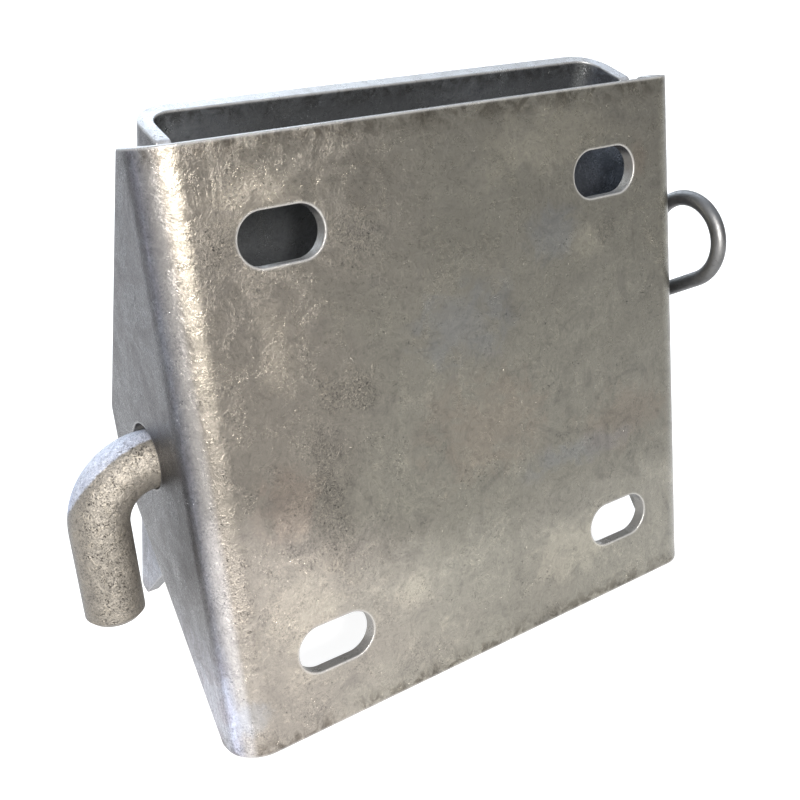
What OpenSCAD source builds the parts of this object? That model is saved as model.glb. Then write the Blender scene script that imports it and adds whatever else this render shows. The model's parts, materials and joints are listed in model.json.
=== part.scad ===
// Pinned hinge bracket pair: two nested folded-steel channels that turn on one bent pin, which a
// spring R-clip holds. The pair stands on the toes of its flanges as an A-frame, plates leaning
// together. Millimetres, +Z up, +X along the pin from its bent leg to its clip, and the origin on
// the floor at the middle of the whole outline.

/* [Outer bracket] */
// Width over the flanges
outer_w = 171; // [165:0.5:200]
// Height of the plate
outer_h = 160; // [150:0.5:180]
// Plate face to pin centre
outer_reach = 32; // [30:0.5:36]
// Depth of the flange at its top and bottom ends
outer_end = 13.3; // [12:0.1:16]

/* [Inner bracket] */
// Width over the flanges
inner_w = 153; // [146:0.5:160]
// Height of the plate
inner_h = 163; // [150:0.5:170]
// Plate face to pin centre
inner_reach = 33.5; // [32:0.5:38]
// Depth of the flange at its bottom end
inner_end = 12.2; // [12:0.1:16]
// Depth of the flange at its top end
inner_top_end = 18.5; // [12:0.1:20]

/* [Folded plate] */
// Thickness of both brackets
plate_t = 4; // [3:0.5:4.5]
// Outer radius of the folds
fold_r = 10; // [6:0.5:11]
// Slope of the flange flanks from the plate
flank_slope = 30.2; // [28:0.1:31]
// How far the flange nose stands past the pin centre
nose = 22.4; // [20:0.1:23]
// Radius of the nose corners
nose_r = 5; // [2:0.5:8]
// Radius of the toe corners
toe_r = 1.5; // [0.5:0.5:3]

/* [Bolt slots] */
// Width of a slot
slot_w = 13.5; // [9:0.5:14]
// End-to-end length of a slot, across the plate
slot_l = 23.5; // [18:0.5:24]
// Slot spacing across the plate
slot_dx = 106.5; // [90:0.5:107]
// Slot spacing up the plate
slot_dz = 111; // [80:0.5:115]

/* [Hinge pin] */
// Diameter of the pin
pin_d = 16; // [12:0.5:16]
// Diameter of the pin holes
hole_d = 18; // [18:0.5:20]
// Centreline radius of the bend
pin_bend = 15; // [14:0.5:20]
// Gap from the flange to the start of the bend
bend_gap = 0.5; // [0.5:0.5:4]
// Length of the leg from the pin centreline
leg_l = 41; // [36:1:70]
// Turn of the leg about the pin, from hanging straight down
leg_turn = -8.6; // [-60:0.1:60]
// Pin end past the flange
pin_past = 14.5; // [13:0.5:25]
// Bevel on the pin ends
pin_bevel = 1.5; // [0.5:0.5:3]

/* [Retaining clip] */
// Wire diameter
wire_d = 4.8; // [4:0.1:5]
// Diameter of the cross hole in the pin
cross_d = 5.6; // [5.6:0.1:7]
// Cross hole centre past the flange
clip_past = 6.5; // [5:0.5:6.5]
// Centreline radius of the eye
eye_r = 13.2; // [12:0.1:16]
// Pin centre to the point where the shank meets the eye
shank_up = 38.3; // [34:0.1:40]
// Pin centre to the free end of the shank
shank_down = 43; // [25:1:50]
// Turn of the shank about the pin, from standing upright
clip_turn = 12.6; // [-30:0.1:30]

/* [Pose] */
// Angle between the two plates
open_angle = 24.7; // [10:0.1:33]

/* [Hidden] */
$fn = 96;
eps = 1;

galvanised = [0.64, 0.62, 0.58];
galvanised_shade = [0.50, 0.50, 0.51];
pin_colour = [0.66, 0.62, 0.54];
wire_colour = [0.47, 0.48, 0.50];

// The toe's arc centre, from the pin centre: across towards the plate, then down.
toe_back = toe_r * tan(45 - flank_slope / 2);
outer_toe = [outer_reach - outer_end + toe_back, outer_h / 2 - toe_r];
inner_toe = [inner_reach - inner_end + toe_back, inner_h / 2 - toe_r];

// The leans that set the toes of both brackets on one floor.
toe_spread = open_angle + atan(outer_toe[0] / outer_toe[1]) + atan(inner_toe[0] / inner_toe[1]);
outer_swing = atan2(norm(outer_toe) - norm(inner_toe) * cos(toe_spread), norm(inner_toe) * sin(toe_spread));
outer_lean = outer_swing - atan(outer_toe[0] / outer_toe[1]);
inner_lean = open_angle - outer_lean;

// The hinge axis: over the floor, and off the middle of the whole outline.
hinge_z = norm(outer_toe) * cos(outer_swing) + toe_r;
leg_x = -outer_w / 2 - bend_gap - pin_bend;
pin_x = outer_w / 2 + pin_past;
hinge_x = -(leg_x - pin_d / 2 + pin_x) / 2;
front_y = -outer_reach * cos(outer_lean) - outer_h / 2 * sin(outer_lean);
back_y = inner_reach * cos(inner_lean) + inner_h / 2 * sin(inner_lean);
hinge_y = -(front_y + back_y) / 2;

// The pin lies on the bottom of its holes.
pin_play = 0.1;
pin_drop = (hole_d - pin_d) / 2 - pin_play;

// The clip's wave: it leaves the eye at eye_exit, turns in by wave_r and hugs the pin at hug_r.
eye_exit = 45;
wave_r = 9;
clip_gap = 0.3;
hug_r = (pin_d + wire_d) / 2 + clip_gap;
exit_p = [eye_r + eye_r * cos(eye_exit), shank_up - eye_r * sin(eye_exit)];
exit_h = [-sin(eye_exit), -cos(eye_exit)];
wave_from = exit_p + wave_r * [cos(eye_exit), -sin(eye_exit)];
run_b = wave_from * exit_h;
run_c = wave_from * wave_from - (hug_r + wave_r) * (hug_r + wave_r);
run = -run_b - sqrt(run_b * run_b - run_c);
wave_c = wave_from + run * exit_h;
hug_a = atan2(wave_c[1], wave_c[0]);
flare_a = 42;
tip_l = 4;
wire_bevel = 0.8;
wire_sides = 16;

function unit(v) = v / norm(v);
function bisector(a, p, b) = unit(unit(a - p) + unit(b - p));
function half_angle(a, p, b) = acos(unit(a - p) * unit(b - p)) / 2;
function nose_half(h, reach, end) = h / 2 - (reach + nose - end) / tan(flank_slope);

// A convex outline with rounded corners: corners are [x, y, radius].
module rounded(corners) {
    n = len(corners);
    function at(i) = [corners[(i + n) % n][0], corners[(i + n) % n][1]];
    function half(i) = half_angle(at(i - 1), at(i), at(i + 1));
    function cut(i) = corners[i][2] / tan(half(i));
    polygon([
        for (i = [0 : n - 1])
            for (to = [at(i - 1), at(i + 1)])
                at(i) + cut(i) * unit(to - at(i))
    ]);
    for (i = [0 : n - 1])
        translate(at(i) + corners[i][2] / sin(half(i)) * bisector(at(i - 1), at(i), at(i + 1)))
            circle(r = corners[i][2]);
}

// The side view of a flange: x away from the plate face, y up, pin centre at the origin.
module flange_outline(h, reach, low_end, top_end) {
    rounded([
        [-reach - eps - toe_r, -h / 2, toe_r],
        [low_end - reach, -h / 2, toe_r],
        [nose, -nose_half(h, reach, low_end), nose_r],
        [nose, nose_half(h, reach, top_end), nose_r],
        [top_end - reach, h / 2, toe_r],
        [-reach - eps - toe_r, h / 2, toe_r]
    ]);
}

// The plan view of the folded channel, open towards +y, its plate face on y = 0.
module channel_plan(w, depth, r) {
    translate([-w / 2, r])
        square([w, depth - r]);
    translate([-w / 2 + r, 0])
        square([w - 2 * r, depth]);
    for (side = [-1, 1])
        translate([side * (w / 2 - r), r])
            circle(r = r);
}

module slot_cutter() {
    rotate([90, 0, 0])
        linear_extrude(4 * fold_r, center = true) {
            square([slot_l - slot_w, slot_w], center = true);
            for (side = [-1, 1])
                translate([side * (slot_l - slot_w) / 2, 0])
                    circle(d = slot_w);
        }
}

// One bracket, its plate facing -Y and its pin hole on the X axis.
module bracket(w, h, reach, low_end, top_end) {
    difference() {
        intersection() {
            translate([0, -reach, -h / 2])
                linear_extrude(h)
                    difference() {
                        channel_plan(w, reach + nose + eps, fold_r);
                        translate([0, plate_t])
                            channel_plan(w - 2 * plate_t, reach + nose + eps, fold_r - plate_t);
                    }
            rotate([90, 0, 90])
                linear_extrude(w + 2 * eps, center = true)
                    flange_outline(h, reach, low_end, top_end);
        }
        rotate([0, 90, 0])
            cylinder(d = hole_d, h = w + 2 * eps, center = true);
        for (x = [-1, 1])
            for (z = [-1, 1])
                translate([x * slot_dx / 2, -reach, z * slot_dz / 2])
                    slot_cutter();
    }
}

module outer_bracket() {
    color(galvanised)
        translate([hinge_x, hinge_y, hinge_z])
            rotate([-outer_lean, 0, 0])
                bracket(outer_w, outer_h, outer_reach, outer_end, outer_end);
}

module inner_bracket() {
    color(galvanised_shade)
        translate([hinge_x, hinge_y, hinge_z])
            rotate([inner_lean, 0, 0])
                mirror([0, 1, 0])
                    bracket(inner_w, inner_h, inner_reach, inner_end, inner_top_end);
}

// A round bar along +X with a bevelled far end.
module bevelled_bar(d, l, bevel) {
    rotate([0, 90, 0])
        rotate_extrude()
            polygon([[0, 0], [d / 2, 0], [d / 2, l - bevel], [d / 2 - bevel, l], [0, l]]);
}

module hinge_pin() {
    bend_x = leg_x + pin_bend;
    color(pin_colour)
        translate([hinge_x, hinge_y, hinge_z - pin_drop])
            difference() {
                rotate([leg_turn, 0, 0]) {
                    translate([bend_x, 0, 0])
                        bevelled_bar(pin_d, pin_x - bend_x, pin_bevel);
                    translate([bend_x, 0, -pin_bend])
                        rotate([90, 0, 0])
                            rotate_extrude(angle = 90, start = 90)
                                translate([pin_bend, 0])
                                    circle(d = pin_d);
                    translate([leg_x, 0, -pin_bend])
                        rotate([0, 90, 0])
                            bevelled_bar(pin_d, leg_l - pin_bend, pin_bevel);
                }
                translate([outer_w / 2 + clip_past, 0, 0])
                    rotate([clip_turn, 0, 0])
                        cylinder(d = cross_d, h = 2 * pin_d, center = true);
            }
}

// Points along an arc of the clip's centreline.
function arc(centre, r, from, to, steps) = [
    for (i = [0 : steps])
        let (a = from + (to - from) * i / steps)
            centre + r * [cos(a), sin(a)]
];

// The clip's centreline lies flat here: shank on the Y axis, eye on the +X side, pin at the origin.
flare_c = [wave_c[0], -wave_c[1]];
flare_end = flare_c - wave_r * [cos(flare_a), sin(flare_a)];
flare_h = [sin(flare_a), -cos(flare_a)];
wire_path = concat(
    [[0, -shank_down], [0, wire_bevel - shank_down]],
    arc([eye_r, shank_up], eye_r, 180, -eye_exit, 24),
    arc(wave_c, wave_r, 180 - eye_exit, 180 + hug_a, 9),
    [for (i = [1 : 7]) hug_r * [cos(hug_a - hug_a * i / 4), sin(hug_a - hug_a * i / 4)]],
    arc(flare_c, wave_r, 180 - hug_a, 180 + flare_a, 7),
    [flare_end + (tip_l - wire_bevel) * flare_h, flare_end + tip_l * flare_h]
);

// One ring of the wire: a circle square to the centreline at point i, smaller on the bevelled ends.
function wire_ring(i) =
    let (last = len(wire_path) - 1)
    let (along = unit(wire_path[min(i + 1, last)] - wire_path[max(i - 1, 0)]))
    let (r = wire_d / 2 - (i == 0 || i == last ? wire_bevel : 0))
        [
            for (k = [0 : wire_sides - 1])
                let (a = 360 * k / wire_sides)
                    [
                        wire_path[i][0] - r * cos(a) * along[1],
                        wire_path[i][1] + r * cos(a) * along[0],
                        r * sin(a)
                    ]
        ];

module clip_wire() {
    n = wire_sides;
    last = len(wire_path) - 1;
    polyhedron(
        [for (i = [0 : last]) each wire_ring(i)],
        concat(
            [[for (k = [0 : n - 1]) n - 1 - k]],
            [
                for (i = [0 : last - 1])
                    for (k = [0 : n - 1])
                        [i * n + k, i * n + (k + 1) % n, (i + 1) * n + (k + 1) % n, (i + 1) * n + k]
            ],
            [[for (k = [0 : n - 1]) last * n + k]]
        )
    );
}

module retaining_clip() {
    color(wire_colour)
        translate([hinge_x + outer_w / 2 + clip_past, hinge_y, hinge_z - pin_drop])
            rotate([clip_turn, 0, 0])
                rotate([90, 0, -90])
                    clip_wire();
}

outer_bracket();
inner_bracket();
hinge_pin();
retaining_clip();
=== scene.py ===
import json
import math

import bpy
from mathutils import Matrix, Vector
from mathutils.geometry import delaunay_2d_cdt


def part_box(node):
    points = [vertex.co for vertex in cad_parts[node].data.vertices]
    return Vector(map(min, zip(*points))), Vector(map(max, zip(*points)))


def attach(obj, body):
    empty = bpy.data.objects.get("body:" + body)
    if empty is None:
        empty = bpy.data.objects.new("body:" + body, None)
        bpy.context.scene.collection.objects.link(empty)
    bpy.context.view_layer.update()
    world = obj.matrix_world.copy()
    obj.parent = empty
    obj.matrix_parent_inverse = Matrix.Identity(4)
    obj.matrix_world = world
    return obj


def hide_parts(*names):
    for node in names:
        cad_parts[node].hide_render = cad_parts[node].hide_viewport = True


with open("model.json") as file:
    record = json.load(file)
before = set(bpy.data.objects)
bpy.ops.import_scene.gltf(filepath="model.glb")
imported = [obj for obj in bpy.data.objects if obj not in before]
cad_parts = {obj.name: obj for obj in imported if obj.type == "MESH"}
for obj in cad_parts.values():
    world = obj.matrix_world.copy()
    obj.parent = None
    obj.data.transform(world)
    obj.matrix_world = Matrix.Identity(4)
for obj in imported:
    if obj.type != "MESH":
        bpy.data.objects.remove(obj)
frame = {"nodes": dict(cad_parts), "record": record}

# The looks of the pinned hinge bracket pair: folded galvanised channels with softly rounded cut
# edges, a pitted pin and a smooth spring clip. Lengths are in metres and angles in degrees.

mm = 0.001

# Sizes of the folded plate that the frame doesn't state
plate_t = 4 * mm
fold_r = 10 * mm
flank_slope = 30.2
outer_end = 13.3 * mm
inner_end = 12.2 * mm
inner_top_end = 18.5 * mm
nose_r = 5 * mm
toe_r = 1.5 * mm
hole_d = 18 * mm

# Softening of the cut edges, and the worn band beside them
edge_r = 0.4 * mm
worn_band = 1.3 * mm

# Sizes of the pin and the clip
pin_d = 16 * mm
pin_bend = 15 * mm
leg_l = 41 * mm
leg_turn = -8.6
pin_bevel = 1.5 * mm
cross_d = 5.6 * mm
wire_d = 4.8 * mm
eye_r = 13.2 * mm
shank_up = 38.3 * mm
shank_down = 43 * mm
eye_exit = 45
wave_r = 9 * mm
clip_gap = 0.3 * mm
flare_a = 42
tip_l = 4 * mm
wire_bevel = 0.8 * mm

# Smoothness of round stretches
fold_steps = 18
corner_steps = 8
hole_steps = 72
edge_steps = 4
bend_steps = 28
pin_sides = 96
wire_sides = 32
wire_step = 5

# The floor
floor_r = 6.0
floor_rings = 4
floor_sides = 96

# The camera's place, as it looks at the pair; its aim is given from the hinge
view_azimuth = -35.18
view_elevation = 27.77
view_roll = 0.98
view_distance = 0.31976
view_aim = Vector((-4.49, -0.76, -6.09)) * mm
view_lens = 47.07

record = frame["record"]
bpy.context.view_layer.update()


# ---------------------------------------------------------------- places from the frame

def joint(name):
    return next(j for j in record["behaviour"]["joints"] if j["name"] == name)


def mount(name):
    return next(m for m in record["mounts"] if m["name"] == name)


def turn(angle, axis):
    return Matrix.Rotation(math.radians(angle), 4, axis)


hinge = Vector(joint("bracket_hinge")["pos_m"])
pin_centre = Vector(joint("pin_turn")["pos_m"])
clip_axis = Vector(joint("clip_pull")["axis"])
outer_axis = Vector(mount("outer_plate_face")["axis"])
inner_axis = Vector(mount("inner_plate_face")["axis"])
outer_lean = math.degrees(math.atan2(outer_axis.z, -outer_axis.y))
inner_lean = math.degrees(math.atan2(inner_axis.z, inner_axis.y))
clip_turn = math.degrees(math.atan2(-clip_axis.y, clip_axis.z))

# Each bracket is built with its plate facing -Y and its pin hole on the X axis, then put in place.
outer_place = Matrix.Translation(hinge) @ turn(-outer_lean, "X")
inner_place = Matrix.Translation(hinge) @ turn(inner_lean, "X") @ turn(180, "Z")


def own_box(node, place):
    """A node's lowest and highest corner in its piece's own frame."""
    back = place.inverted()
    found = [back @ v.co for v in frame["nodes"][node].data.vertices]
    return (
        Vector(min(p[i] for p in found) for i in range(3)),
        Vector(max(p[i] for p in found) for i in range(3)),
    )


# ---------------------------------------------------------------- meshes

def smooth_mesh(name, verts, faces):
    """A smooth-shaded mesh."""
    mesh = bpy.data.meshes.new(name)
    mesh.from_pydata(verts, [], faces)
    mesh.polygons.foreach_set("use_smooth", [True] * len(mesh.polygons))
    mesh.update()
    return mesh


def new_piece(name, mesh, place, node, material):
    """An object, in place, that stands for a node and rides on the body of the same name."""
    mesh.transform(place)
    mesh.materials.append(material)
    piece = bpy.data.objects.new(name, mesh)
    bpy.context.scene.collection.objects.link(piece)
    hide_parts(node)
    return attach(piece, node)


def corner_arc(before, corner, after, r):
    """The rounded corner of an anticlockwise outline, as (point, outward normal) pairs."""
    way_in = (corner - before).normalized()
    way_out = (after - corner).normalized()
    bend = way_in.angle(way_out)
    middle = (way_out - way_in).normalized()
    centre = corner + middle * (r / math.cos(bend / 2))
    first = math.atan2(-way_in.x, way_in.y)
    pairs = []
    for i in range(corner_steps + 1):
        a = first + bend * i / corner_steps
        out = Vector((math.cos(a), math.sin(a)))
        pairs.append((centre + r * out, out))
    return pairs


def slot_loop(centre, half_run, r):
    """A slot, or a round hole if its run is 0, clockwise, as (point, normal into it) pairs."""
    pairs = []
    half = hole_steps // 2
    for side in (1, -1):
        for i in range(half + (half_run > 0)):
            a = side * math.pi / 2 - math.pi * i / half
            out = Vector((math.cos(a), math.sin(a)))
            pairs.append((centre + Vector((side * half_run, 0)) + r * out, -out))
    return pairs


def inside(point, loop):
    """True if a point lies inside a closed loop of points."""
    hit = False
    for i, a in enumerate(loop):
        b = loop[i - 1]
        if (a.y > point.y) != (b.y > point.y):
            if point.x < a.x + (b.x - a.x) * (point.y - a.y) / (b.y - a.y):
                hit = not hit
    return hit


class Sheet:
    """A folded channel's flat pattern, and where its points go once it is bent round the folds.

    s runs across the pattern, z up it, and depth from the outer face into the plate."""

    def __init__(self, node, place, low_end, top_end):
        low, high = own_box(node, place)
        self.half_w = high.x
        self.half_h = high.z
        self.reach = -low.y
        self.low_end = low_end
        self.top_end = top_end
        self.nose = high.y
        self.bend_from = self.half_w - fold_r
        self.bend_to = self.bend_from + fold_r * math.pi / 2
        self.pin_s = self.bend_to + self.reach - fold_r

    def folded(self, s, z, depth):
        """A point of the sheet, its outward normal, and its way along +s."""
        side = 1 if s >= 0 else -1
        a = min(max((abs(s) - self.bend_from) / fold_r, 0), math.pi / 2)
        out = Vector((side * math.sin(a), -math.cos(a), 0))
        along = Vector((math.cos(a), side * math.sin(a), 0))
        if abs(s) <= self.bend_from:
            point = Vector((s, depth - self.reach, z))
        elif abs(s) >= self.bend_to:
            point = Vector((side * (self.half_w - depth), abs(s) - self.pin_s, z))
        else:
            centre = Vector((side * self.bend_from, fold_r - self.reach, z))
            point = centre + (fold_r - depth) * out
        return point, out, along

    def outline(self):
        """The cut edge as anticlockwise (point, outward normal) pairs, and the bends' (from, to) indices."""
        low_s = self.pin_s - self.reach + self.low_end
        top_s = self.pin_s - self.reach + self.top_end
        nose_s = self.pin_s + self.nose
        slope = math.tan(math.radians(flank_slope))
        right = [
            (Vector((low_s, -self.half_h)), toe_r),
            (Vector((nose_s, (nose_s - low_s) / slope - self.half_h)), nose_r),
            (Vector((nose_s, self.half_h - (nose_s - top_s) / slope)), nose_r),
            (Vector((top_s, self.half_h)), toe_r),
        ]
        corners = right + [(Vector((-p.x, p.y)), r) for p, r in reversed(right)]
        arcs = [
            corner_arc(corners[i - 1][0], p, corners[(i + 1) % len(corners)][0], r)
            for i, (p, r) in enumerate(corners)
        ]
        step = (self.bend_to - self.bend_from) / fold_steps
        bends = [self.bend_from + step * i for i in range(fold_steps + 1)]
        across = [-s for s in reversed(bends)] + bends
        up = Vector((0, 1))
        top = [(Vector((-s, self.half_h)), up) for s in across]
        bottom = [(Vector((s, -self.half_h)), -up) for s in across]
        half = sum(arcs[:4], [])
        loop = half + top + sum(arcs[4:], []) + bottom
        last_top = len(half) + len(top) - 1
        first_bottom = len(loop) - len(bottom)
        lines = [(first_bottom + i, last_top - i) for i in range(len(across))]
        return loop, lines

    def holes(self, bolts):
        """The four bolt slots and the two pin holes."""
        r = bolts["hole_r_mm"] * mm
        half_run = bolts["slot_length_mm"] * mm / 2 - r
        loops = []
        for x in (-0.5, 0.5):
            for z in (-0.5, 0.5):
                centre = Vector((x * bolts["spacing_x_mm"], z * bolts["spacing_y_mm"])) * mm
                loops.append(slot_loop(centre, half_run, r))
        for side in (-1, 1):
            loops.append(slot_loop(Vector((side * self.pin_s, 0)), 0, hole_d / 2))
        return loops


def edge_profile():
    """Steps over a cut edge: (inset, depth, tilt of the normal, wear)."""
    half = [(worn_band, 0, 0, 0)]
    for i in range(edge_steps + 1):
        a = math.pi / 2 * i / edge_steps
        half.append((edge_r * (1 - math.sin(a)), edge_r * (1 - math.cos(a)), a, 1))
    return half + [(i, plate_t - d, math.pi - a, w) for i, d, a, w in reversed(half)]


def bracket_mesh(name, sheet, bolts):
    """A folded channel with slots, pin holes and softly rounded cut edges."""
    outline, lines = sheet.outline()
    loops = [outline] + sheet.holes(bolts)
    profile = edge_profile()
    verts, normals, worn, faces = [], [], [], []
    near, far, flat, edges, starts = [], [], [], [], []
    for loop in loops:
        first = len(verts)
        n = len(loop)
        for inset, depth, tilt, wear in profile:
            for point, way in loop:
                p = point - inset * way
                spot, out, along = sheet.folded(p.x, p.y, depth)
                edge = along * way.x + Vector((0, 0, way.y))
                verts.append(spot)
                normals.append(out * math.cos(tilt) + edge * math.sin(tilt))
                worn.append(float(wear))
        for j in range(len(profile) - 1):
            for i in range(n):
                a, b = first + j * n + i, first + j * n + (i + 1) % n
                faces.append((a, a + n, b + n, b))
        near += range(first, first + n)
        far += range(len(verts) - n, len(verts))
        starts.append(len(flat))
        edges += [(len(flat) + i, len(flat) + (i + 1) % n) for i in range(n)]
        flat += [point - worn_band * way for point, way in loop]
    gaps = [flat[a:b] for a, b in zip(starts[1:], starts[2:] + [len(flat)])]
    made = delaunay_2d_cdt(flat, edges + lines, [], 1, 1e-7)
    for face in made[2]:
        back = [made[3][i][0] for i in face]
        middle = sum((flat[i] for i in back), Vector((0, 0))) / len(back)
        if not any(inside(middle, gap) for gap in gaps):
            faces.append([near[i] for i in back])
            faces.append([far[i] for i in reversed(back)])
    mesh = smooth_mesh(name, verts, faces)
    mesh.attributes.new("worn", "FLOAT", "POINT").data.foreach_set("value", worn)
    mesh.normals_split_custom_set_from_vertices(normals)
    return mesh


def tube_mesh(name, path, sides):
    """A round bar through (centre, radius, way) steps; it bends only in the plane of +X and its ups."""
    verts = []
    for centre, r, way, side in path:
        up = way.cross(side)
        for k in range(sides):
            a = 2 * math.pi * k / sides
            verts.append(centre + r * (math.cos(a) * side + math.sin(a) * up))
    faces = []
    for j in range(len(path) - 1):
        for k in range(sides):
            a, b = j * sides + k, j * sides + (k + 1) % sides
            faces.append((a, b, b + sides, a + sides))
    faces.append(list(reversed(range(sides))))
    faces.append(list(range(len(verts) - sides, len(verts))))
    return smooth_mesh(name, verts, faces)


def end_steps(r, bevel):
    """(radius, set-back) steps from the middle of a bar's flat end out over its bevel."""
    middle = Vector((0, 0))
    inner = Vector((r - bevel, 0))
    outer = Vector((r, bevel))
    after = Vector((r, 4 * bevel))
    arcs = corner_arc(middle, inner, outer, edge_r) + corner_arc(inner, outer, after, edge_r)
    return [(r * 0.1, 0)] + [tuple(point) for point, _ in arcs]


def pin_path():
    """The pin's steps from the tip of its leg, up, round the bend, and along to its far end."""
    low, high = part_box("hinge_pin")
    r = pin_d / 2
    tilt = turn(leg_turn, "X").to_3x3()
    side = tilt @ Vector((0, 1, 0))
    down = tilt @ Vector((0, 0, -1))
    east = Vector((1, 0, 0))
    leg = east * (low.x + r - pin_centre.x)
    end = east * (high.x - pin_centre.x)
    ends = end_steps(r, pin_bevel)
    path = [(leg + down * (leg_l - back), radius, -down, side) for radius, back in ends]
    bend_c = leg + (east + down) * pin_bend
    for i in range(bend_steps + 1):
        a = math.pi / 2 * i / bend_steps
        way = east * math.sin(a) - down * math.cos(a)
        spot = bend_c - pin_bend * (east * math.cos(a) + down * math.sin(a))
        path.append((spot, r, way, side))
    return path + [(end - east * back, radius, east, side) for radius, back in reversed(ends)]


def arc_steps(centre, r, start, stop):
    """(point, way) steps along an arc, every few degrees."""
    count = math.ceil(abs(stop - start) / wire_step)
    sign = 1 if stop > start else -1
    steps = []
    for i in range(count + 1):
        a = math.radians(start + (stop - start) * i / count)
        radial = Vector((math.cos(a), math.sin(a)))
        steps.append((centre + r * radial, sign * Vector((-radial.y, radial.x))))
    return steps


def clip_path():
    """The clip's steps: up its shank, round the eye, and down the waved leg that hugs the pin."""
    hug_r = (pin_d + wire_d) / 2 + clip_gap
    eye_c = Vector((eye_r, shank_up))
    eye = arc_steps(eye_c, eye_r, 180, -eye_exit)
    leave, heading = eye[-1]
    from_c = leave + wave_r * Vector((-heading.y, heading.x))
    b = from_c.dot(heading)
    c = from_c.length_squared - (hug_r + wave_r) ** 2
    wave_c = from_c + heading * (-b - math.sqrt(b * b - c))
    hug_a = math.degrees(math.atan2(wave_c.y, wave_c.x))
    flare_c = Vector((wave_c.x, -wave_c.y))
    steps = eye
    steps += arc_steps(wave_c, wave_r, 180 - eye_exit, 180 + hug_a)
    steps += arc_steps(Vector((0, 0)), hug_r, hug_a, -hug_a)[1:-1]
    steps += arc_steps(flare_c, wave_r, 180 - hug_a, 180 + flare_a)
    last, last_way = steps[-1]
    tip = last + tip_l * last_way
    foot = Vector((0, -shank_down))
    up = Vector((0, 1))
    ends = end_steps(wire_d / 2, wire_bevel)
    path = [(foot + up * back, radius, up) for radius, back in ends]
    path += [(point, wire_d / 2, way) for point, way in steps]
    path += [(tip - last_way * back, radius, last_way) for radius, back in reversed(ends)]
    return [
        (Vector((0, -p.x, p.y)), radius, Vector((0, -way.x, way.y)), Vector((1, 0, 0)))
        for p, radius, way in path
    ]


def drilled(mesh, place, cutter_mesh, cutter_place):
    """The mesh with the cutter taken away; both stand in the row frame."""
    body = bpy.data.objects.new("drilled", mesh)
    cutter = bpy.data.objects.new("cutter", cutter_mesh)
    for piece, where in ((body, place), (cutter, cutter_place)):
        bpy.context.scene.collection.objects.link(piece)
        piece.matrix_world = where
    cut = body.modifiers.new("cut", "BOOLEAN")
    cut.operation = "DIFFERENCE"
    cut.solver = "EXACT"
    cut.object = cutter
    bpy.context.view_layer.update()
    made = bpy.data.meshes.new_from_object(body.evaluated_get(bpy.context.evaluated_depsgraph_get()))
    for piece in (body, cutter):
        bpy.data.objects.remove(piece)
    made.set_sharp_from_angle(angle=math.radians(50))
    made.name = mesh.name + "_drilled"
    return made


# ---------------------------------------------------------------- materials

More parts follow.
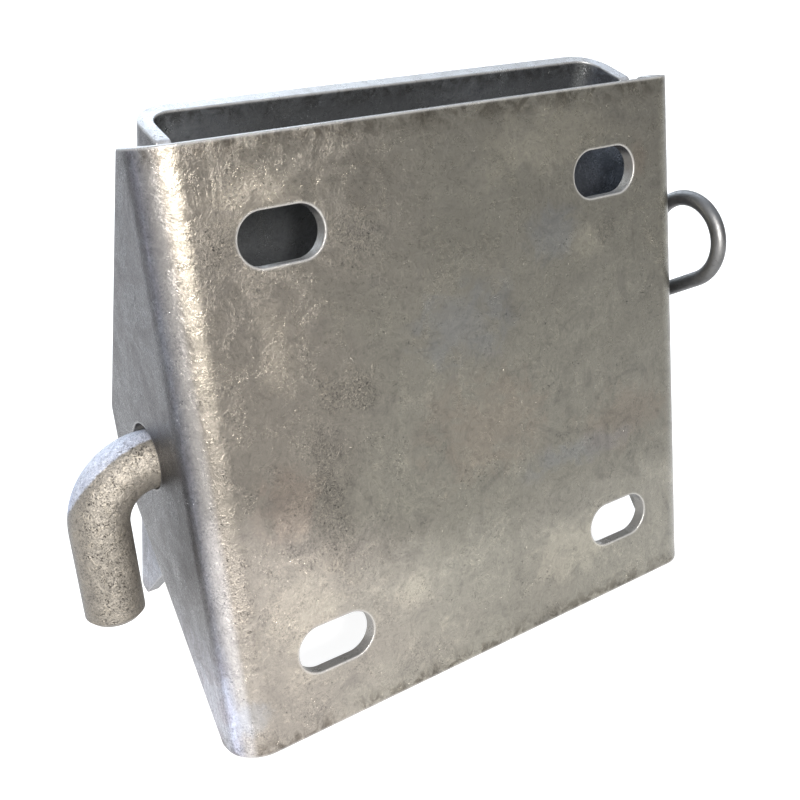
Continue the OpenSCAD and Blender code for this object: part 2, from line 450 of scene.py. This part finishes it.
class Shader:
    """A node material in a piece's own frame, with the coordinates in millimetres."""

    def __init__(self, name, place=Matrix()):
        self.material = bpy.data.materials.new(name)
        self.material.use_nodes = True
        self.tree = self.material.node_tree
        self.surface = self.tree.nodes["Principled BSDF"]
        coords = self.tree.nodes.new("ShaderNodeTexCoord")
        mapping = self.tree.nodes.new("ShaderNodeMapping")
        back = place.inverted()
        self.put(mapping.inputs["Vector"], coords.outputs["Object"])
        self.put(mapping.inputs["Location"], back.translation)
        self.put(mapping.inputs["Rotation"], back.to_euler())
        self.object = self.vector("SCALE", mapping.outputs[0], scale=1 / mm)

    def put(self, socket, value):
        if isinstance(value, bpy.types.NodeSocket):
            self.tree.links.new(value, socket)
        elif value is not None:
            socket.default_value = value

    def vector(self, operation, a, b=None, scale=None):
        node = self.tree.nodes.new("ShaderNodeVectorMath")
        node.operation = operation
        self.put(node.inputs[0], a)
        self.put(node.inputs[1], b)
        self.put(node.inputs[3], scale)
        return node.outputs[0]

    def maths(self, operation, a, b=0.0):
        node = self.tree.nodes.new("ShaderNodeMath")
        node.operation = operation
        self.put(node.inputs[0], a)
        self.put(node.inputs[1], b)
        return node.outputs[0]

    def axis(self, name):
        node = self.tree.nodes.new("ShaderNodeSeparateXYZ")
        self.put(node.inputs[0], self.object)
        return node.outputs[name]

    def attribute(self, name):
        node = self.tree.nodes.new("ShaderNodeAttribute")
        node.attribute_name = name
        return node.outputs["Fac"]

    def noise(self, size, detail=3.0, rough=0.55, warp=0.0, stretch=(1, 1, 1), at=(0, 0, 0)):
        """Cloudy noise with features of about that size in millimetres."""
        node = self.tree.nodes.new("ShaderNodeTexNoise")
        spot = self.vector("ADD", self.vector("DIVIDE", self.object, stretch), at)
        self.put(node.inputs["Vector"], spot)
        self.put(node.inputs["Scale"], 1 / size)
        self.put(node.inputs["Detail"], detail)
        self.put(node.inputs["Roughness"], rough)
        self.put(node.inputs["Distortion"], warp)
        return node.outputs[0]

    def blots(self, marks, x, z, edge):
        """Soft marks, each at (x, z, half width, half height) in millimetres, with edges moved by edge."""
        found = 0.0
        for at_x, at_z, wide, high in marks:
            across = self.maths("DIVIDE", self.maths("SUBTRACT", x, at_x), wide)
            up = self.maths("DIVIDE", self.maths("SUBTRACT", z, at_z), high)
            far = self.maths("ADD", self.maths("MULTIPLY", across, across), self.maths("MULTIPLY", up, up))
            far = self.maths("ADD", self.maths("SQRT", far), edge)
            found = self.maths("MAXIMUM", found, self.remap(far, 0.3, 1.2, 1, 0))
        return found

    def remap(self, value, low, high, to_low=0.0, to_high=1.0):
        """A smooth step between two levels."""
        node = self.tree.nodes.new("ShaderNodeMapRange")
        node.interpolation_type = "SMOOTHSTEP"
        for name, number in (("Value", value), ("From Min", low), ("From Max", high),
                             ("To Min", to_low), ("To Max", to_high)):
            self.put(node.inputs[name], number)
        return node.outputs[0]

    def mix(self, factor, a, b, blend="MIX"):
        node = self.tree.nodes.new("ShaderNodeMix")
        node.data_type = "RGBA"
        node.blend_type = blend
        self.put(node.inputs[0], factor)
        self.put(node.inputs[6], a if isinstance(a, bpy.types.NodeSocket) else (*a, 1))
        self.put(node.inputs[7], b if isinstance(b, bpy.types.NodeSocket) else (*b, 1))
        return node.outputs[2]

    def gain(self, factor, base, by):
        """The base made lighter or darker by a share per channel, where the factor is 1."""
        return self.mix(factor, base, self.mix(1.0, base, by, "MULTIPLY"))

    def bump(self, height):
        """A bump with its height in millimetres."""
        node = self.tree.nodes.new("ShaderNodeBump")
        self.put(node.inputs["Height"], height)
        self.put(node.inputs["Distance"], mm)
        return node.outputs[0]

    def facing(self, way):
        """How squarely the surface faces a direction of the row frame: 1 is straight at it."""
        coords = self.tree.nodes.new("ShaderNodeTexCoord")
        node = self.tree.nodes.new("ShaderNodeVectorMath")
        node.operation = "DOT_PRODUCT"
        self.put(node.inputs[0], coords.outputs["Normal"])
        self.put(node.inputs[1], Vector(way).normalized())
        return node.outputs["Value"]


def shade(tint, level):
    """A tint made lighter or darker, and kept under full white."""
    return tuple(min(part * level, 0.92) for part in tint)


# Tints of zinc, as shares of a grey
beige = (1.12, 1.02, 0.88)
olive = (1.09, 1.04, 0.88)
# The slate tint serves only painted sky reflections, on the flanges and along the pin's bend.
sky_reflection_tint = (0.92, 0.97, 1.13)
neutral = (1.0, 1.0, 1.0)
steel = (0.95, 1.0, 1.06)

# Marks on the plates, each at (x, z, half width, half height) in millimetres from the plate's middle
outer_marks = {
    "rough": [
        (-49, -18, 7, 26), (-33, 51, 11, 9), (-40, 12, 12, 8), (53, 39, 6, 5), (-70, 58, 5, 12),
        (-79, -30, 4, 22),
    ],
    "rusty": [(4, -10, 24, 18), (57, -22, 20, 12), (66, 58, 4, 6), (-62, -12, 9, 12)],
    "blue": [(32, 42, 10, 9), (-2, 22, 18, 12), (-80, -68, 5, 6), (38, -27, 26, 5)],
    "pale": [
        (33, -58, 20, 10), (-60, 28, 5, 13), (-60, 67, 18, 7), (44, 36, 7, 6), (-60, -44, 13, 20),
        (-28, -50, 9, 6), (32, 68, 26, 12),
    ],
}
inner_marks = {
    "rough": [(20, 60, 14, 8), (-45, -20, 12, 20), (50, -30, 9, 12)],
    "rusty": [(-30, 30, 22, 14), (30, -60, 18, 9)],
    "blue": [(10, 5, 20, 14), (-55, 65, 12, 8)],
    "pale": [(55, 15, 12, 22), (-20, -62, 20, 7)],
}


def galvanised(name, place, sheet, tone, foot, near, far, marks):
    """Dull hot-dip zinc: cloudy stains, feathery grain, clustered specks, scuffs and named marks.

    The plate runs from the near tint to the far one across its width, its near side painted a little
    darker as painted shading, and is paler low down as a painted floor reflection. Its folds have a
    painted highlight and a painted paler, bluer sheen on the shoulder; its flanges are painted darker
    and bluer as painted shade and sky reflection, and as light as foot at their lower ends, a painted
    floor reflection."""
    s = Shader(name, place)
    half_w = sheet.half_w / mm
    half_h = sheet.half_h / mm
    fold = fold_r / mm
    x = s.axis("X")
    z = s.axis("Z")
    away = s.maths("ABSOLUTE", x)

    # Patterns, each with the size of its features in millimetres
    clouds = s.noise(62, 5, 0.62, 0.6)
    stains = s.noise(15, 6, 0.72, 1.6, at=(3, 7, 1))
    feathers = s.noise(3.4, 6, 0.72, 3.2, at=(9, 2, 5))
    grain = s.noise(0.62, 4, 0.75, 0.6)
    specks = s.noise(0.8, 3, 0.65, 1.5, at=(6, 6, 2))
    clusters = s.noise(11, 5, 0.7, 1.0, at=(2, 8, 4))
    scuffs = s.noise(1.0, 3, 0.6, 0.2, stretch=(30, 30, 0.8), at=(5, 5, 5))
    streaks = s.noise(2.2, 5, 0.7, 0.8, stretch=(1, 1, 7), at=(4, 9, 1))
    waver = s.remap(s.noise(9, 4, 0.65, 0.8, at=(2, 2, 7)), 0.25, 0.75, -0.5, 0.5)
    rough_marks, rusty_marks, blue_marks, pale_marks = (
        s.blots(marks[kind], x, z, waver) for kind in ("rough", "rusty", "blue", "pale"))

    # The plate: its two tints with a painted shading step between its sides, marks and stains, and the paler
    # band low down, a painted floor reflection
    drift = s.maths("ADD", s.remap(x, -half_w, 0.1 * half_w), s.remap(clouds, 0.3, 0.7, -0.3, 0.3))
    # Painted shading: the near side is painted a tenth darker than the far side, on top of their change of
    # tint.
    base = s.mix(s.remap(drift, -0.1, 1.1), shade(near, tone * 0.9), shade(far, tone))
    base = s.mix(s.maths("MULTIPLY", blue_marks, 0.4), base, shade(steel, tone * 1.05))
    base = s.gain(s.maths("MULTIPLY", rusty_marks, 0.5), base, (1.06, 0.94, 0.9))
    base = s.gain(s.remap(stains, 0.48, 0.7), base, (0.76, 0.76, 0.78))
    base = s.gain(s.remap(stains, 0.28, 0.46, 1, 0), base, (1.24, 1.22, 1.2))
    base = s.gain(pale_marks, base, (1.3, 1.29, 1.26))
    # Painted floor reflection: the plate is painted paler low down, most on its near side.
    sunk = s.maths("ADD", s.maths("MULTIPLY", waver, 9), s.remap(x, -half_w, -0.1 * half_w, -26, 0))
    low = s.remap(s.maths("ADD", z, sunk), -0.66 * half_h, -0.36 * half_h, 1, 0)
    low = s.maths("MULTIPLY", low, s.remap(x, -0.7 * half_w, 0.2 * half_w, 1, 0.38))
    base = s.gain(low, base, (1.9, 1.9, 1.94))

    # The folds and the flanges: painted highlight, sheen, shade and reflections, and the flanges' own
    # streaks and stains
    # Painted highlight: a light strip along each fold's upper part, fading towards the bottom; it also
    # lowers the roughness there.
    painted_fold_highlight = s.remap(away, half_w - 1.02 * fold, half_w - 0.8 * fold)
    painted_fold_highlight = s.maths("MULTIPLY", painted_fold_highlight, s.remap(away, half_w - 0.72 * fold, half_w - 0.5 * fold, 1, 0))
    painted_fold_highlight = s.maths("MULTIPLY", painted_fold_highlight, s.remap(z, -0.4 * half_h, half_h))
    base = s.gain(painted_fold_highlight, base, (1.24, 1.24, 1.2))
    flank = s.remap(away, half_w - 0.32 * fold, half_w - 0.01 * fold)
    # Painted shade and reflection: the flanges are painted darker and bluer than the plate, lighter towards
    # the top, and much lighter at their lower ends where they reflect the floor.
    upper = s.remap(z, -0.3 * half_h, 0.8 * half_h)
    painted_flange_shade = s.mix(upper, shade(sky_reflection_tint, tone * 0.34), shade(sky_reflection_tint, tone * 0.46))
    painted_flange_shade = s.mix(s.remap(z, -0.95 * half_h, -0.45 * half_h, 1, 0), painted_flange_shade, shade(sky_reflection_tint, foot))
    painted_flange_shade = s.gain(s.remap(streaks, 0.3, 0.5, 1, 0), painted_flange_shade, (1.5, 1.45, 1.45))
    painted_flange_shade = s.gain(s.remap(streaks, 0.5, 0.72), painted_flange_shade, (0.62, 0.6, 0.6))
    painted_flange_shade = s.gain(s.remap(stains, 0.42, 0.6), painted_flange_shade, (0.84, 0.78, 0.77))
    base = s.mix(s.maths("MULTIPLY", flank, 0.85), base, painted_flange_shade)
    # Painted sheen: each fold's shoulder beside the highlight is painted paler and bluer.
    painted_shoulder_sheen = s.remap(away, half_w - 0.55 * fold, half_w - 0.32 * fold)
    painted_shoulder_sheen = s.maths("MULTIPLY", painted_shoulder_sheen, s.remap(away, half_w - 0.1 * fold, half_w - 0.01 * fold, 1, 0))
    base = s.gain(painted_shoulder_sheen, base, (1.66, 1.74, 1.93))

    # Feathers, wisps, grain, specks and scuffs
    base = s.gain(s.remap(feathers, 0.48, 0.7), base, (0.74, 0.74, 0.74))
    base = s.gain(s.remap(feathers, 0.26, 0.46, 1, 0), base, (1.3, 1.28, 1.24))
    wisps = s.maths("ABSOLUTE", s.maths("SUBTRACT", s.noise(13, 4, 0.6, 3.5, at=(8, 3, 2)), 0.5))
    wisps = s.maths("MULTIPLY", s.remap(wisps, 0.0, 0.03, 1, 0), s.remap(clouds, 0.46, 0.6))
    base = s.gain(wisps, base, (1.18, 1.18, 1.16))
    coarse = s.maths("MULTIPLY", s.remap(drift, 0.1, 0.9, 0.9, 0.25), s.remap(clusters, 0.4, 0.6, 0.15, 1.0))
    coarse = s.maths("MAXIMUM", s.maths("MAXIMUM", coarse, s.maths("MULTIPLY", flank, 0.8)), rough_marks)
    base = s.gain(rough_marks, base, (0.74, 0.74, 0.74))
    base = s.gain(s.maths("MULTIPLY", s.remap(grain, 0.5, 0.66), coarse), base, (0.5, 0.5, 0.52))
    base = s.gain(s.maths("MULTIPLY", s.remap(grain, 0.32, 0.48, 1, 0), coarse), base, (1.5, 1.47, 1.42))
    dark = s.maths("MAXIMUM", s.remap(clusters, 0.5, 0.6), rough_marks)
    dark = s.maths("MULTIPLY", s.remap(specks, 0.6, 0.68), dark)
    base = s.gain(dark, base, (0.26, 0.26, 0.28))
    base = s.gain(s.remap(scuffs, 0.68, 0.75), base, (1.15, 1.15, 1.15))

    # Dirt along the top and bottom edges, painted shade on surfaces facing down such as the lower cut edges,
    # and wear on the rims
    dirt = s.remap(s.maths("ABSOLUTE", z), half_h - 7, half_h - 0.5)
    dirt = s.maths("MULTIPLY", dirt, s.remap(s.noise(5, 5, 0.7, 0.8, at=(7, 4, 6)), 0.42, 0.6))
    base = s.gain(dirt, base, (0.5, 0.48, 0.46))
    rim = s.maths("POWER", s.attribute("worn"), 3.0)
    base = s.mix(s.maths("MULTIPLY", rim, 0.6), base, shade(neutral, 0.21))
    # Painted shade: surfaces facing down, such as the lower cut edges, are painted dark.
    base = s.gain(s.remap(s.facing((0, 0, -1)), 0.35, 0.75), base, (0.25, 0.25, 0.27))

    # Gloss and relief
    s.put(s.surface.inputs["Base Color"], base)
    s.put(s.surface.inputs["Metallic"], s.remap(rim, 0, 1, 0.9, 0.5))
    rough = s.maths("ADD", s.remap(stains, 0.3, 0.7, 0.26, 0.37), s.remap(grain, 0.3, 0.7, -0.05, 0.07))
    rough = s.maths("ADD", rough, s.maths("MULTIPLY", rough_marks, 0.1))
    rough = s.maths("SUBTRACT", rough, s.maths("MULTIPLY", painted_fold_highlight, 0.03))
    s.put(s.surface.inputs["Roughness"], rough)
    height = s.maths("MULTIPLY", s.noise(24, 2, 0.5, at=(1, 1, 9)), 0.8)
    height = s.maths("ADD", height, s.maths("MULTIPLY", feathers, 0.09))
    height = s.maths("ADD", height, s.maths("MULTIPLY", grain, s.remap(coarse, 0, 1, 0.04, 0.13)))
    height = s.maths("SUBTRACT", height, s.maths("MULTIPLY", dark, 0.12))
    s.put(s.surface.inputs["Normal"], s.bump(height))
    return s.material


def galvanised_bar(name, place, tone, tint):
    """The pin's thicker, duller zinc: lumps and dark pits, a painted pale blue sky reflection along the top
    of the bend, and painted shade on the side facing away from the lights.
    """
    s = Shader(name, place)
    clouds = s.noise(14, 5, 0.65, 0.5)
    lumps = s.noise(2.2, 5, 0.65, 1.2)
    grain = s.noise(0.5, 4, 0.75, 0.8, at=(4, 4, 4))
    specks = s.noise(0.8, 4, 0.7, 1.8, at=(2, 9, 3))
    clusters = s.noise(4.5, 4, 0.7, 0.8, at=(7, 1, 6))
    # Painted sky reflection: a pale blue run along the top of the bend, where the surface faces up and back.
    sky_run_facing = s.maths("ADD", s.facing((-0.35, 0.42, 0.84)), s.remap(lumps, 0.3, 0.7, -0.02, 0.02))
    run = s.remap(sky_run_facing, 0.58, 0.66)
    base = s.mix(s.remap(clouds, 0.3, 0.7), shade(tint, tone * 0.9), shade(tint, tone * 1.12))
    base = s.mix(s.maths("MULTIPLY", run, 0.85), base, shade(sky_reflection_tint, tone * 2.9))
    # Painted shade: the side facing away from the lights is painted darker and bluer.
    painted_lee_shade = s.remap(s.facing((-0.88, 0.47, 0)), 0.72, 0.95)
    base = s.gain(painted_lee_shade, base, (0.78, 0.84, 0.96))
    base = s.gain(s.remap(lumps, 0.5, 0.72), base, (1.22, 1.2, 1.15))
    base = s.gain(s.remap(lumps, 0.26, 0.46, 1, 0), base, (0.78, 0.78, 0.8))
    base = s.gain(s.remap(grain, 0.5, 0.66), base, (0.62, 0.62, 0.63))
    base = s.gain(s.remap(grain, 0.34, 0.48, 1, 0), base, (1.35, 1.34, 1.3))
    pits = s.maths("MULTIPLY", s.remap(specks, 0.56, 0.61), s.remap(clusters, 0.4, 0.54))
    base = s.gain(s.maths("MULTIPLY", pits, s.remap(run, 0, 1, 1, 0.6)), base, (0.2, 0.18, 0.17))
    s.put(s.surface.inputs["Base Color"], base)
    s.surface.inputs["Metallic"].default_value = 0.65
    s.put(s.surface.inputs["Roughness"], s.remap(grain, 0.3, 0.7, 0.4, 0.56))
    height = s.maths("ADD", s.maths("MULTIPLY", lumps, 0.4), s.maths("MULTIPLY", grain, 0.12))
    height = s.maths("SUBTRACT", height, s.maths("MULTIPLY", pits, 0.22))
    s.put(s.surface.inputs["Normal"], s.bump(height))
    return s.material


def plated_wire(name, place, tone, tint):
    """Smooth, darker zinc-plated spring wire with fine grain and small dull spots."""
    s = Shader(name, place)
    clouds = s.noise(9, 4, 0.6)
    grain = s.noise(0.35, 3, 0.6)
    spots = s.noise(1.5, 3, 0.6, at=(6, 1, 2))
    base = s.mix(s.remap(clouds, 0.3, 0.7), shade(tint, tone * 0.82), shade(tint, tone * 1.2))
    base = s.mix(s.remap(spots, 0.55, 0.72, 0, 0.5), base, shade(tint, tone * 0.55))
    base = s.mix(s.remap(grain, 0.5, 0.75, 0, 0.3), base, shade(tint, tone * 1.5))
    s.put(s.surface.inputs["Base Color"], base)
    s.surface.inputs["Metallic"].default_value = 0.92
    s.put(s.surface.inputs["Roughness"], s.remap(spots, 0.3, 0.7, 0.38, 0.54))
    height = s.maths("ADD", s.maths("MULTIPLY", grain, 0.02), s.maths("MULTIPLY", spots, 0.05))
    s.put(s.surface.inputs["Normal"], s.bump(height))
    return s.material


def floor_material():
    """Matt grey paper with a fine tooth, painted white by an even glow."""
    s = Shader("glowing_white_floor")
    tooth = s.noise(1.4, 4, 0.6)
    s.put(s.surface.inputs["Base Color"], s.mix(s.noise(300, 2), (0.22, 0.22, 0.22), (0.25, 0.25, 0.25)))
    s.surface.inputs["Roughness"].default_value = 0.9
    s.put(s.surface.inputs["Normal"], s.bump(s.maths("MULTIPLY", tooth, 0.03)))
    # Painted light: the floor glows evenly white, which also lights the pieces from below.
    s.surface.inputs["Emission Color"].default_value = (1.0, 1.0, 1.0, 1)
    s.surface.inputs["Emission Strength"].default_value = 0.92
    return s.material


# ---------------------------------------------------------------- the pieces

bolts = mount("outer_bolt_slots")["dims"]
outer_sheet = Sheet("outer_bracket", outer_place, outer_end, outer_end)
inner_sheet = Sheet("inner_bracket", inner_place, inner_end, inner_top_end)
new_piece(
    "Outer_bracket", bracket_mesh("outer_bracket_sheet", outer_sheet, bolts), outer_place,
    "outer_bracket",
    galvanised("galvanised_outer_skin", outer_place, outer_sheet, 0.129, 0.38, beige, olive, outer_marks))
new_piece(
    "Inner_bracket", bracket_mesh("inner_bracket_sheet", inner_sheet, bolts), inner_place,
    "inner_bracket",
    galvanised("galvanised_inner_skin", inner_place, inner_sheet, 0.14, 0.24, steel, steel, inner_marks))

clip_low, clip_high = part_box("retaining_clip")
clip_centre = Vector(((clip_low.x + clip_high.x) / 2, pin_centre.y, pin_centre.z))
clip_place = Matrix.Translation(clip_centre) @ turn(clip_turn, "X")
pin_place = Matrix.Translation(pin_centre)
hole_path = [
    (Vector((0, 0, z * pin_d)), cross_d / 2, Vector((0, 0, 1)), Vector((1, 0, 0))) for z in (-1, 1)
]
pin_mesh = drilled(
    tube_mesh("pin_bar", pin_path(), pin_sides), pin_place,
    tube_mesh("cross_hole", hole_path, wire_sides), clip_place)
new_piece(
    "Hinge_pin", pin_mesh, pin_place,
    "hinge_pin", galvanised_bar("galvanised_pin_skin", pin_place, 0.128, beige))
new_piece(
    "Retaining_clip", tube_mesh("clip_wire", clip_path(), wire_sides), clip_place,
    "retaining_clip", plated_wire("clip_wire_skin", clip_place, 0.1, neutral))


# ---------------------------------------------------------------- floor, light and camera

def disc(name, radius, rings, sides):
    """A flat round floor at z = 0."""
    verts = [(0, 0, 0)]
    for j in range(1, rings + 1):
        for k in range(sides):
            a = 2 * math.pi * k / sides
            verts.append((radius * j / rings * math.cos(a), radius * j / rings * math.sin(a), 0))
    faces = [(0, 1 + k, 1 + (k + 1) % sides) for k in range(sides)]
    for j in range(rings - 1):
        for k in range(sides):
            a, b = 1 + j * sides + k, 1 + j * sides + (k + 1) % sides
            faces.append((a, a + sides, b + sides, b))
    piece = bpy.data.objects.new(name, smooth_mesh(name, verts, faces))
    bpy.context.scene.collection.objects.link(piece)
    return piece


def softbox(name, place, aim, size, watts, colour):
    """A rectangular area light at a place, facing a point."""
    light = bpy.data.lights.new(name, "AREA")
    light.shape = "RECTANGLE"
    light.size, light.size_y = size
    light.energy = watts
    light.color = colour
    lamp = bpy.data.objects.new(name, light)
    lamp.location = place
    lamp.rotation_euler = (Vector(aim) - Vector(place)).to_track_quat("-Z", "Y").to_euler()
    bpy.context.scene.collection.objects.link(lamp)


def sky():
    """An even studio surround, a little bluer and brighter overhead than at the sides."""
    world = bpy.data.worlds.new("studio")
    bpy.context.scene.world = world
    world.use_nodes = True
    tree = world.node_tree
    background = tree.nodes["Background"]
    coords = tree.nodes.new("ShaderNodeTexCoord")
    parts = tree.nodes.new("ShaderNodeSeparateXYZ")
    ramp = tree.nodes.new("ShaderNodeValToRGB")
    tree.links.new(coords.outputs["Generated"], parts.inputs[0])
    tree.links.new(parts.outputs["Z"], ramp.inputs[0])
    tree.links.new(ramp.outputs[0], background.inputs["Color"])
    stops = ramp.color_ramp
    stops.elements[0].color = (0.42, 0.41, 0.39, 1)
    stops.elements[1].color = (1.7, 1.82, 2.05, 1)
    for height, colour in ((0.3, (0.55, 0.56, 0.6)), (0.55, (1.5, 1.62, 1.85))):
        stops.elements.new(height).color = (*colour, 1)
    background.inputs["Strength"].default_value = 0.62


floor = disc("Floor", floor_r, floor_rings, floor_sides)
floor.data.materials.append(floor_material())
sky()
softbox("key", place=(-0.42, -1.08, 0.60), aim=(0, 0, 0.09), size=(0.14, 0.34), watts=56,
        colour=(1.0, 0.97, 0.93))
softbox("top", place=(0.3, 0.5, 0.8), aim=(0, 0, 0.08), size=(0.8, 0.6), watts=6,
        colour=(0.8, 0.9, 1.0))
softbox("window", place=(-0.1, 1.2, 0.56), aim=(-0.05, 0, 0.1), size=(1.6, 0.8), watts=18,
        colour=(0.8, 0.9, 1.0))
softbox("left", place=(-1.1, 0.5, 0.5), aim=(0, 0, 0.08), size=(0.8, 0.8), watts=1.5,
        colour=(0.8, 0.88, 1.0))

camera = bpy.data.cameras.new("camera")
camera.lens = view_lens
camera.sensor_width = 36
camera.clip_start = 0.01
viewer = bpy.data.objects.new("camera", camera)
bpy.context.scene.collection.objects.link(viewer)
around = Matrix.Rotation(math.radians(view_azimuth), 4, "Z")
raised = Matrix.Rotation(math.radians(90 - view_elevation), 4, "X")
rolled = Matrix.Rotation(math.radians(view_roll), 4, "Z")
pulled = Matrix.Translation((0, 0, view_distance))
viewer.matrix_world = Matrix.Translation(hinge + view_aim) @ around @ raised @ rolled @ pulled
bpy.context.scene.camera = viewer
bpy.context.scene.view_settings.view_transform = "Standard"
